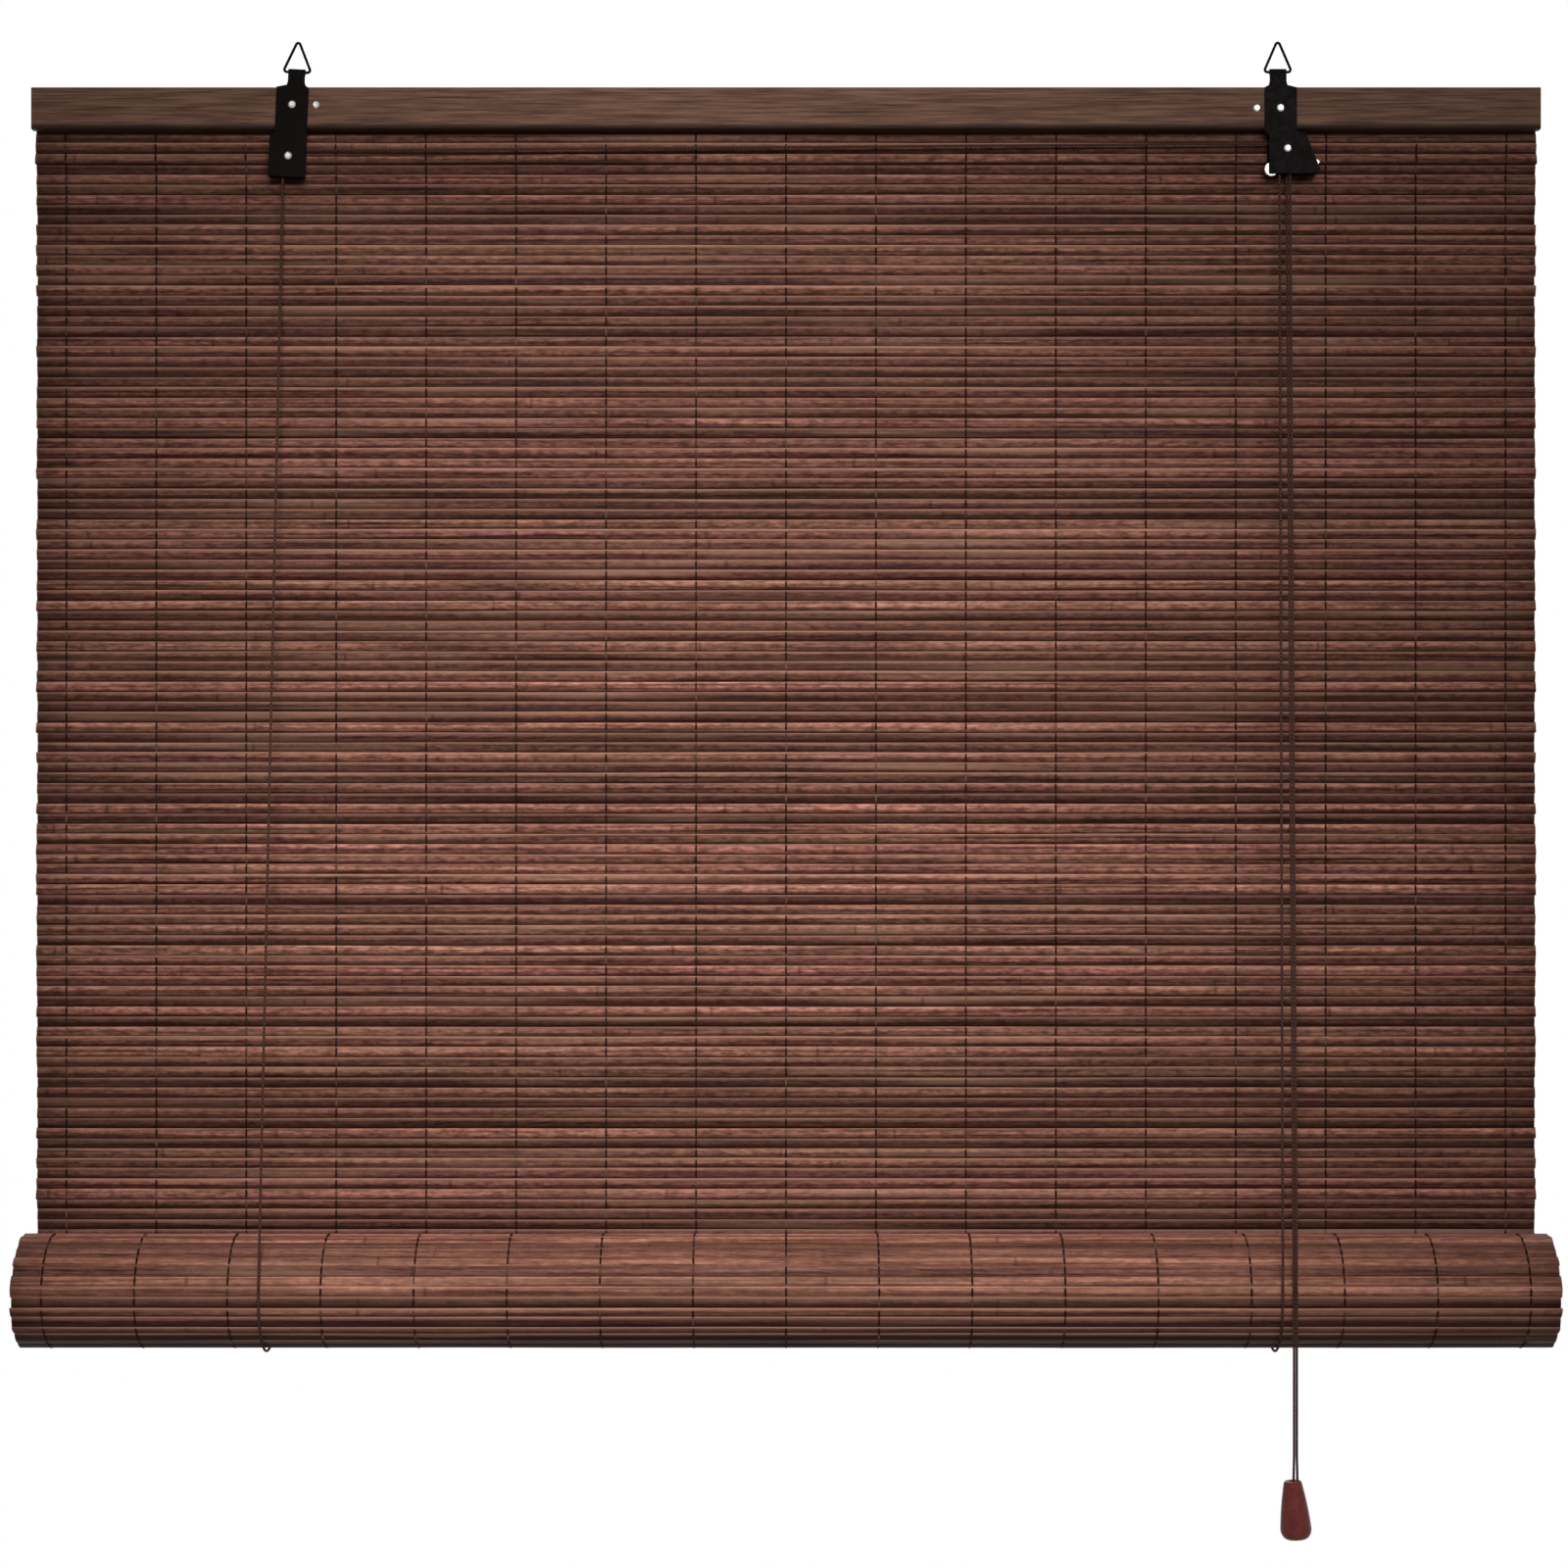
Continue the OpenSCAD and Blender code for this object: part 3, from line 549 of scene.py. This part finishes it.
# Painted glints: a few stitches, picked at random, are painted pale.
cotton = mix(tree, ramp(tree, tone, 0.7, 1.0), COTTON, COTTON_GLINT)
fluff = add(
    tree,
    "ShaderNodeGroup",
    {"Dark": (0.6, 0.6, 0.6, 1.0), "Light": (1.3, 1.3, 1.3, 1.0), "Along": 1400.0, "Across": 1400.0},
    node_tree=grain,
)
tree.links.new(mix(tree, 1.0, cotton, fluff.outputs["Color"], "MULTIPLY"), shader["Base Color"])
tree.links.new(bumped(tree, fluff.outputs["Height"], 0.0001), shader["Normal"])
thread_low, thread_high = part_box("warp_threads")
thread_pitch = (thread_high[0] - thread_low[0] - THREAD_W) / (THREADS - 1)
stitches, given, out = group(
    "stitches",
    "GeometryNodeTree",
    [
        ("Count", "Int", 10),
        ("First", "Int", 0),
        ("Lift", "Float", 0.0),
        ("Lines", "Int", THREADS),
        ("Line Pitch", "Float", thread_pitch),
        ("Stitch Width", "Float", THREAD_W),
        ("Stitch Height", "Float", STITCH_T),
        ("Material", "Material", None),
    ]
    + LAYOUT,
    [("Geometry", "Geometry")],
)
size = add(
    stitches,
    "ShaderNodeCombineXYZ",
    [given["Stitch Width"], given["Stitch Height"], sums(stitches, "MULTIPLY", given["Pitch"], STITCH_SHARE)],
)
bar = add(stitches, "GeometryNodeMeshCube", {"Size": size.outputs[0], "Vertices Z": 4})
at = add(stitches, "GeometryNodeInputPosition").outputs[0]
corner = add(stitches, "ShaderNodeSeparateXYZ", [at]).outputs
share = sums(stitches, "ABSOLUTE", sums(stitches, "DIVIDE", corner[2], given["Pitch"]))
thin_end = sums(stitches, "SUBTRACT", 1.15, sums(stitches, "MULTIPLY", share, 1.3))
tapered = add(
    stitches,
    "ShaderNodeCombineXYZ",
    [
        sums(stitches, "MULTIPLY", corner[0], thin_end),
        sums(stitches, "MULTIPLY", corner[1], thin_end),
        corner[2],
    ],
).outputs[0]
bead = add(stitches, "GeometryNodeSetPosition", {"Geometry": bar.outputs[0], "Position": tapered})
index = add(stitches, "GeometryNodeInputIndex").outputs[0]
line = sums(stitches, "FLOORED_MODULO", index, given["Lines"])
rows_before = sums(stitches, "FLOOR", sums(stitches, "DIVIDE", index, given["Lines"]))
row = sums(stitches, "ADD", rows_before, given["First"])
spot = placed(stitches, given, row, given["Lift"])
half_way = sums(stitches, "MULTIPLY", sums(stitches, "SUBTRACT", given["Lines"], 1.0), 0.5)
from_middle = sums(stitches, "SUBTRACT", line, half_way)
aside = sums(stitches, "MULTIPLY", from_middle, given["Line Pitch"])
sideways = add(stitches, "ShaderNodeCombineXYZ", [aside, 0.0, 0.0]).outputs[0]
spots = add(stitches, "ShaderNodeVectorMath", [spot["Place"], sideways], operation="ADD").outputs[0]
total = sums(stitches, "MULTIPLY", given["Count"], given["Lines"])
dots = add(stitches, "GeometryNodePoints", {"Count": total, "Position": spots}).outputs[0]
real = realized(stitches, bead.outputs[0], dots, spot["Turn"], index)
soft = add(stitches, "GeometryNodeSetShadeSmooth", {"Geometry": real}).outputs[0]
coated = add(stitches, "GeometryNodeSetMaterial", {"Geometry": soft, "Material": given["Material"]})
stitches.links.new(coated.outputs[0], out["Geometry"])

face = SLAT_T / 2
shown_hem = range(math.ceil((mat_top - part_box("head_rail")[0][2]) / SLAT_PITCH), HEM_SLATS)
outer_turn = round(2 * math.pi * (wound_r - TURN_PITCH / 2) / SLAT_PITCH)
STITCHES = [
    ("hem_stitches", "head", dict(Count=len(shown_hem), First=shown_hem[0], Depth=hem_y, Lift=-face)),
    ("upper_stitches", "head", dict(Count=still_slats - HEM_SLATS, First=HEM_SLATS, Lift=-face)),
    ("lower_stitches", "head", dict(Count=FLAT_SLATS - still_slats, First=still_slats, Lift=-face)),
    ("upper_back_stitches", "head", dict(Count=still_slats, Lift=face)),
    ("lower_back_stitches", "head", dict(Count=FLAT_SLATS - still_slats, First=still_slats, Lift=face)),
    ("wound_stitches", "roll", dict(Count=outer_turn, First=1, Lift=face, Wound=True)),
]
for name, body, settings in STITCHES:
    piece = grown(name, stitches, dict(settings, Material=thin))
    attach(piece, body)
    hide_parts("roll_threads" if body == "roll" else "warp_threads")
    if name.startswith("lower"):
        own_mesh(piece)

# Hardware: folded steel sheet and bent wire under worn black paint. The heads of the nails and
# rivets, the guide roller, the lock's cam and stud and the staples are bare steel, and the pulleys
# are black plastic.
scuff, given, out = group(
    "scuffed",
    "ShaderNodeTree",
    [
        ("Base", "Color", (0, 0, 0, 1)),
        ("Worn", "Color", (1, 1, 1, 1)),
        ("Amount", "Float", 0.3),
        ("Smooth", "Float", 0.32),
        ("Rough", "Float", 0.6),
    ],
    [("Color", "Color"), ("Roughness", "Float"), ("Height", "Float")],
)
spot = add(scuff, "ShaderNodeTexCoord").outputs["Object"]
cloud = add(
    scuff, "ShaderNodeTexNoise", {"Vector": spot, "Scale": 260.0, "Detail": 6.0, "Roughness": 0.7}
).outputs[0]
rub = sums(scuff, "MULTIPLY", ramp(scuff, cloud, 0.55, 0.75), given["Amount"])
scuff.links.new(mix(scuff, rub, given["Base"], given["Worn"]), out["Color"])
scuff.links.new(ramp(scuff, cloud, 0.3, 0.8, given["Smooth"], given["Rough"]), out["Roughness"])
scuff.links.new(cloud, out["Height"])


def handled(name, base, worn, amount, metallic, depth):
    made, tree, shader = material(name, 0.4, metallic, specular=0.5 if metallic else 0.03)
    looks = {"Base": base, "Worn": worn, "Amount": amount}
    if metallic:
        looks.update({"Smooth": 0.2, "Rough": 0.4})
    marks = add(tree, "ShaderNodeGroup", looks, node_tree=scuff)
    tree.links.new(marks.outputs["Color"], shader["Base Color"])
    tree.links.new(marks.outputs["Roughness"], shader["Roughness"])
    tree.links.new(bumped(tree, marks.outputs["Height"], depth), shader["Normal"])
    return made


black = handled(
    "black_paint", srgb(8, 3, 3), srgb(44, 31, 28), amount=0.5, metallic=0.0, depth=0.00008
)
steel = handled(
    "bare_steel", srgb(158, 155, 151), srgb(104, 98, 92), amount=0.5, metallic=1.0, depth=0.00003
)
plastic = handled(
    "black_plastic", srgb(22, 20, 20), srgb(40, 38, 37), amount=0.3, metallic=0.0, depth=0.00003
)
coat(black, "left_bracket", "right_bracket", "left_ring", "right_ring", "guide_pin", "lock_pin")
coat(steel, "nails", "rivets", "guide_roller", "lock_cam", "lock_stud", "mat_staples", "cord_staples")
coat(plastic, "left_pulley", "right_pulley")

# Cords: dark brown cotton, two strands twisted together. Each goes from behind an end of the rail
# down the mat's back, under the roll and up to its pulley, then through the lock and over the roll
# to the tassel. The knots are the same cord pulled tight.
CORD_D = 0.0015
CORD_GAP = 0.00015
CORD_REACH = CORD_D / 2 + CORD_GAP
PULLEY_RUN_R = 0.0036
BELOW_PULLEY = 0.0062
BELOW_GUIDE = 0.0015
BELOW_LOCK = 0.002
FRONT_EXIT_IN = 0.001
REAR_EXIT_IN = 0.0025
EXIT_FORWARD = 0.0004
PULL_SPREAD = 0.00079
TIED_SPREAD = 0.0012
PARTING = 0.014
TWISTS_PER_M = 420.0
CORD_GROOVE = srgb(30, 15, 12)
CORD_STRAND = srgb(98, 69, 61)
twine, tree, shader = material("cord", 0.8, specular=0.03)
turn = add(tree, "ShaderNodeSeparateXYZ", [add(tree, "ShaderNodeUVMap", uv_map="twist").outputs[0]]).outputs
twisted = sums(tree, "MULTIPLY", turn[1], TWISTS_PER_M)
strand = sums(tree, "ADD", sums(tree, "MULTIPLY", turn[0], 2.0), twisted)
lay = sums(tree, "ABSOLUTE", sums(tree, "SINE", sums(tree, "MULTIPLY", strand, math.pi)))
tree.links.new(mix(tree, lay, CORD_GROOVE, CORD_STRAND), shader["Base Color"])
tree.links.new(bumped(tree, lay, 0.0003), shader["Normal"])
knotted, _ = grained(
    "cord_knot", CORD_GROOVE, CORD_STRAND, roughness=0.85, along=900.0, across=900.0, depth=0.0001
)
coat(knotted, "cord_knots", "tassel_knot")


def middle(node):
    low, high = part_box(node)
    return (np.array(low) + np.array(high)) / 2


loop_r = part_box("left_lift_cord")[1][1] - CORD_D / 2 - roll_at[1]
left_pulley = joint_at("left_pulley_turn")
right_pulley = joint_at("right_pulley_turn")
guide = middle("guide_roller")
guide_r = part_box("guide_roller")[1][0] - guide[0]
stud = middle("lock_stud")
stud_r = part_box("lock_stud")[1][0] - stud[0]
pulley_low, pulley_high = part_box("right_pulley")
front_groove = pulley_low[1] + (pulley_high[1] - pulley_low[1]) / 4
rear_groove = pulley_low[1] + (pulley_high[1] - pulley_low[1]) * 3 / 4
left_groove = middle("left_pulley")[1]
lock_exit_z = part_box("right_bracket")[0][2] - BELOW_LOCK
tassel_x = middle("tassel_knot")[0]
tassel_y = middle("tassel")[1]


def arc(centre, radius, start, end, steps, y):
    """Points round a pulley, seen from the room, at depth y; 0 degrees is to the right."""
    turns = np.radians(np.linspace(start, end, steps + 1))
    return [(centre[0] + radius * math.cos(a), y, centre[2] + radius * math.sin(a)) for a in turns]


def round_roll(x, start, end, steps):
    """Points on a cord's way round the roll; 0 degrees is the back of it, 90 its underside."""
    turns = np.radians(np.linspace(start, end, steps + 1))
    return [(x, roll_at[1] + loop_r * math.cos(a), roll_at[2] - loop_r * math.sin(a)) for a in turns]


def touch_angle(point):
    """Where a straight run down from a point meets the cord's way round the roll."""
    dy, dz = point[1] - roll_at[1], point[2] - roll_at[2]
    return 360 - math.degrees(math.atan2(dz, dy) + math.acos(loop_r / math.hypot(dy, dz)))


def close_points(corners, step=0.005):
    """The corners joined by straight runs, with points close enough for a cord's twist."""
    out = [np.array(corners[0], float)]
    for a, b in zip(corners, corners[1:]):
        a, b = np.array(a, float), np.array(b, float)
        count = max(1, round(float(np.linalg.norm(b - a)) / step))
        out += [a + (b - a) * i / count for i in range(1, count + 1)]
    return out


def cord_piece(name, corners, stands_for, sides=10):
    """A tube along the corners, with its girth in U and its length in V."""
    path = close_points(corners)
    ways = [path[min(i + 1, len(path) - 1)] - path[max(i - 1, 0)] for i in range(len(path))]
    across = np.cross(ways[0], (0.31, 0.87, 0.38))
    points, faces, along, run = [], [], [], 0.0
    for i, way in enumerate(ways):
        way = way / np.linalg.norm(way)
        across = across - way * (across @ way)
        across = across / np.linalg.norm(across)
        run += float(np.linalg.norm(path[i] - path[i - 1])) if i else 0
        for k in range(sides):
            a = 2 * math.pi * k / sides
            outward = math.cos(a) * across + math.sin(a) * np.cross(way, across)
            points.append(path[i] + CORD_D / 2 * outward)
        along.append(run)
    for i in range(len(path) - 1):
        for k in range(sides):
            a, b = i * sides + k, i * sides + (k + 1) % sides
            faces.append((a, b, b + sides, a + sides))
    faces += [tuple(range(sides))[::-1], tuple(range(len(points) - sides, len(points)))]
    mesh = bpy.data.meshes.new(name)
    mesh.from_pydata([tuple(p) for p in points], [], faces)
    mesh.materials.append(twine)
    layer = mesh.uv_layers.new(name="twist")
    for polygon in mesh.polygons:
        polygon.use_smooth = len(polygon.vertices) == 4
        for n, loop in enumerate(polygon.loop_indices):
            ring, k = divmod(mesh.loops[loop].vertex_index, sides)
            wrapped = sides if polygon.use_smooth and k == 0 and n in (1, 2) else k
            layer.data[loop].uv = (wrapped / sides, along[ring])
    piece = bpy.data.objects.new(name, mesh)
    scene.collection.objects.link(piece)
    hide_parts(*stands_for)
    return piece


def shortens(piece):
    """A straight run that the rising roll takes up, towards its fixed end."""
    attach(piece, "head")
    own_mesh(piece)


left_end = (left_pulley[0] - PULLEY_RUN_R, left_groove, left_pulley[2] - BELOW_PULLEY)
right_end = (guide[0] + guide_r + CORD_REACH, front_groove, guide[2] - BELOW_GUIDE)
for side, top_end in (("left", left_end), ("right", right_end)):
    node = side + "_lift_cord"
    cord_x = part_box(node)[0][0] + CORD_D / 2
    back_top = (cord_x, roll_at[1] + loop_r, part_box(node)[1][2])
    around = round_roll(cord_x, 0, touch_angle(top_end), 40)
    back = cord_piece(side + "_back_run", [back_top, around[0]], [node])
    under = cord_piece(side + "_loop", around, [node])
    front = cord_piece(side + "_front_run", [top_end, around[-1]], [node])
    shortens(back)
    shortens(front)
    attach(under, "lift_cords")

lock_x = stud[0] + stud_r + CORD_REACH
front_exit = (lock_x - FRONT_EXIT_IN, front_groove - EXIT_FORWARD, lock_exit_z)
rear_exit = (lock_x - REAR_EXIT_IN, rear_groove - EXIT_FORWARD, lock_exit_z)
cross = cord_piece(
    "cross_run",
    [left_end]
    + arc(left_pulley, PULLEY_RUN_R, 180, 90, 6, left_groove)
    + arc(right_pulley, PULLEY_RUN_R, 90, 0, 6, rear_groove)
    + [(lock_x, rear_groove, stud[2]), rear_exit],
    ["cross_cord", "pull_cord_rear"],
)
over = cord_piece(
    "pulley_run",
    [right_end]
    + arc(right_pulley, PULLEY_RUN_R, 180, 0, 12, front_groove)
    + [(lock_x, front_groove, stud[2]), front_exit],
    ["right_lift_cord", "pull_cord_front"],
)
for piece in (cross, over):
    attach(piece, "head")

tassel_pieces = [nodes["tassel"], nodes["tassel_knot"]]
for name, way_out, spread, far_end, ends in (
    ("front", front_exit, 1, "fitting", tassel_pieces),
    ("rear", rear_exit, -1, "knot", []),
):
    node = "pull_cord_" + name
    drop_x = tassel_x + spread * PULL_SPREAD
    touch = round_roll(drop_x, touch_angle(way_out), 180, 3)
    parted = (drop_x, tassel_y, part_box("tassel")[1][2] + PARTING)
    tied = (tassel_x + spread * TIED_SPREAD, tassel_y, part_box(node)[0][2])
    run = cord_piece(name + "_pull_run", [way_out, touch[0]], [node])
    drop = cord_piece(name + "_pull_drop", touch + [parted, tied], [node])
    shortens(run)
    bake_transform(drop)


# Light: a soft lamp in front, to the right and a little above, a spot that fades towards the mat's
# edges, and a lamp behind for the back. The ground is white only to a ray that looks at it, straight
# or in metal, so that the roll's underside goes dark.
def aimed(name, kind, at, target, watts, **settings):
    lamp = bpy.data.lights.new(name, kind)
    lamp.energy = watts
    for key, value in settings.items():
        setattr(lamp, key, value)
    stand = bpy.data.objects.new(name, lamp)
    stand.location = at
    x, y, z = np.array(target) - np.array(at)
    stand.rotation_euler = (math.atan2(math.hypot(x, y), -z), 0, math.atan2(y, x) - math.pi / 2)
    scene.collection.objects.link(stand)


def seen(tree):
    """Whether a ray looks at the ground, straight or in metal or glass, and doesn't light the blind."""
    path = add(tree, "ShaderNodeLightPath").outputs
    mirrored = sums(tree, "MAXIMUM", path["Is Glossy Ray"], path["Is Transmission Ray"])
    return sums(tree, "MAXIMUM", path["Is Camera Ray"], mirrored)


aimed("key", "AREA", at=(0.6, -2.5, 0.8), target=(0.0, 0.0, -0.5), watts=21.5, size=0.8)
aimed(
    "middle",
    "SPOT",
    at=(-0.12, -2.1, 0.5),
    target=(-0.06, 0.0, -0.49),
    watts=163.0,
    spot_size=0.5,
    spot_blend=1.0,
    shadow_soft_size=0.2,
)
aimed("behind", "AREA", at=(-0.5, 2.6, 1.2), target=(0.0, 0.0, -0.45), watts=42.0, size=1.0)
GROUND_LIGHT = (0.07, 0.07, 0.07, 1.0)
GROUND_SEEN = (1.0, 1.0, 1.0, 1.0)
world = bpy.data.worlds.new("ground")
scene.world = world
world.use_nodes = True
tree = world.node_tree
tree.nodes.clear()
colour = mix(tree, seen(tree), GROUND_LIGHT, GROUND_SEEN)
ground = add(tree, "ShaderNodeBackground", [colour, 1.0])
add(tree, "ShaderNodeOutputWorld", [ground.outputs[0]])

# Floor: a plain pale floor, as far below the rail as under a window. It lies below the picture and
# shows only from above.
FLOOR_Z = -2.0
FLOOR_W = 3.0
PALE = srgb(235, 234, 232)
bpy.ops.mesh.primitive_plane_add(size=FLOOR_W, location=(0.0, 0.0, FLOOR_Z))
floor = bpy.context.object
floor.name = "floor"
paved, tree, shader = material("floor", 0.8)
shader["Base Color"].default_value = PALE
shader["Emission Color"].default_value = PALE
tree.links.new(seen(tree), shader["Emission Strength"])
floor.data.materials.append(paved)
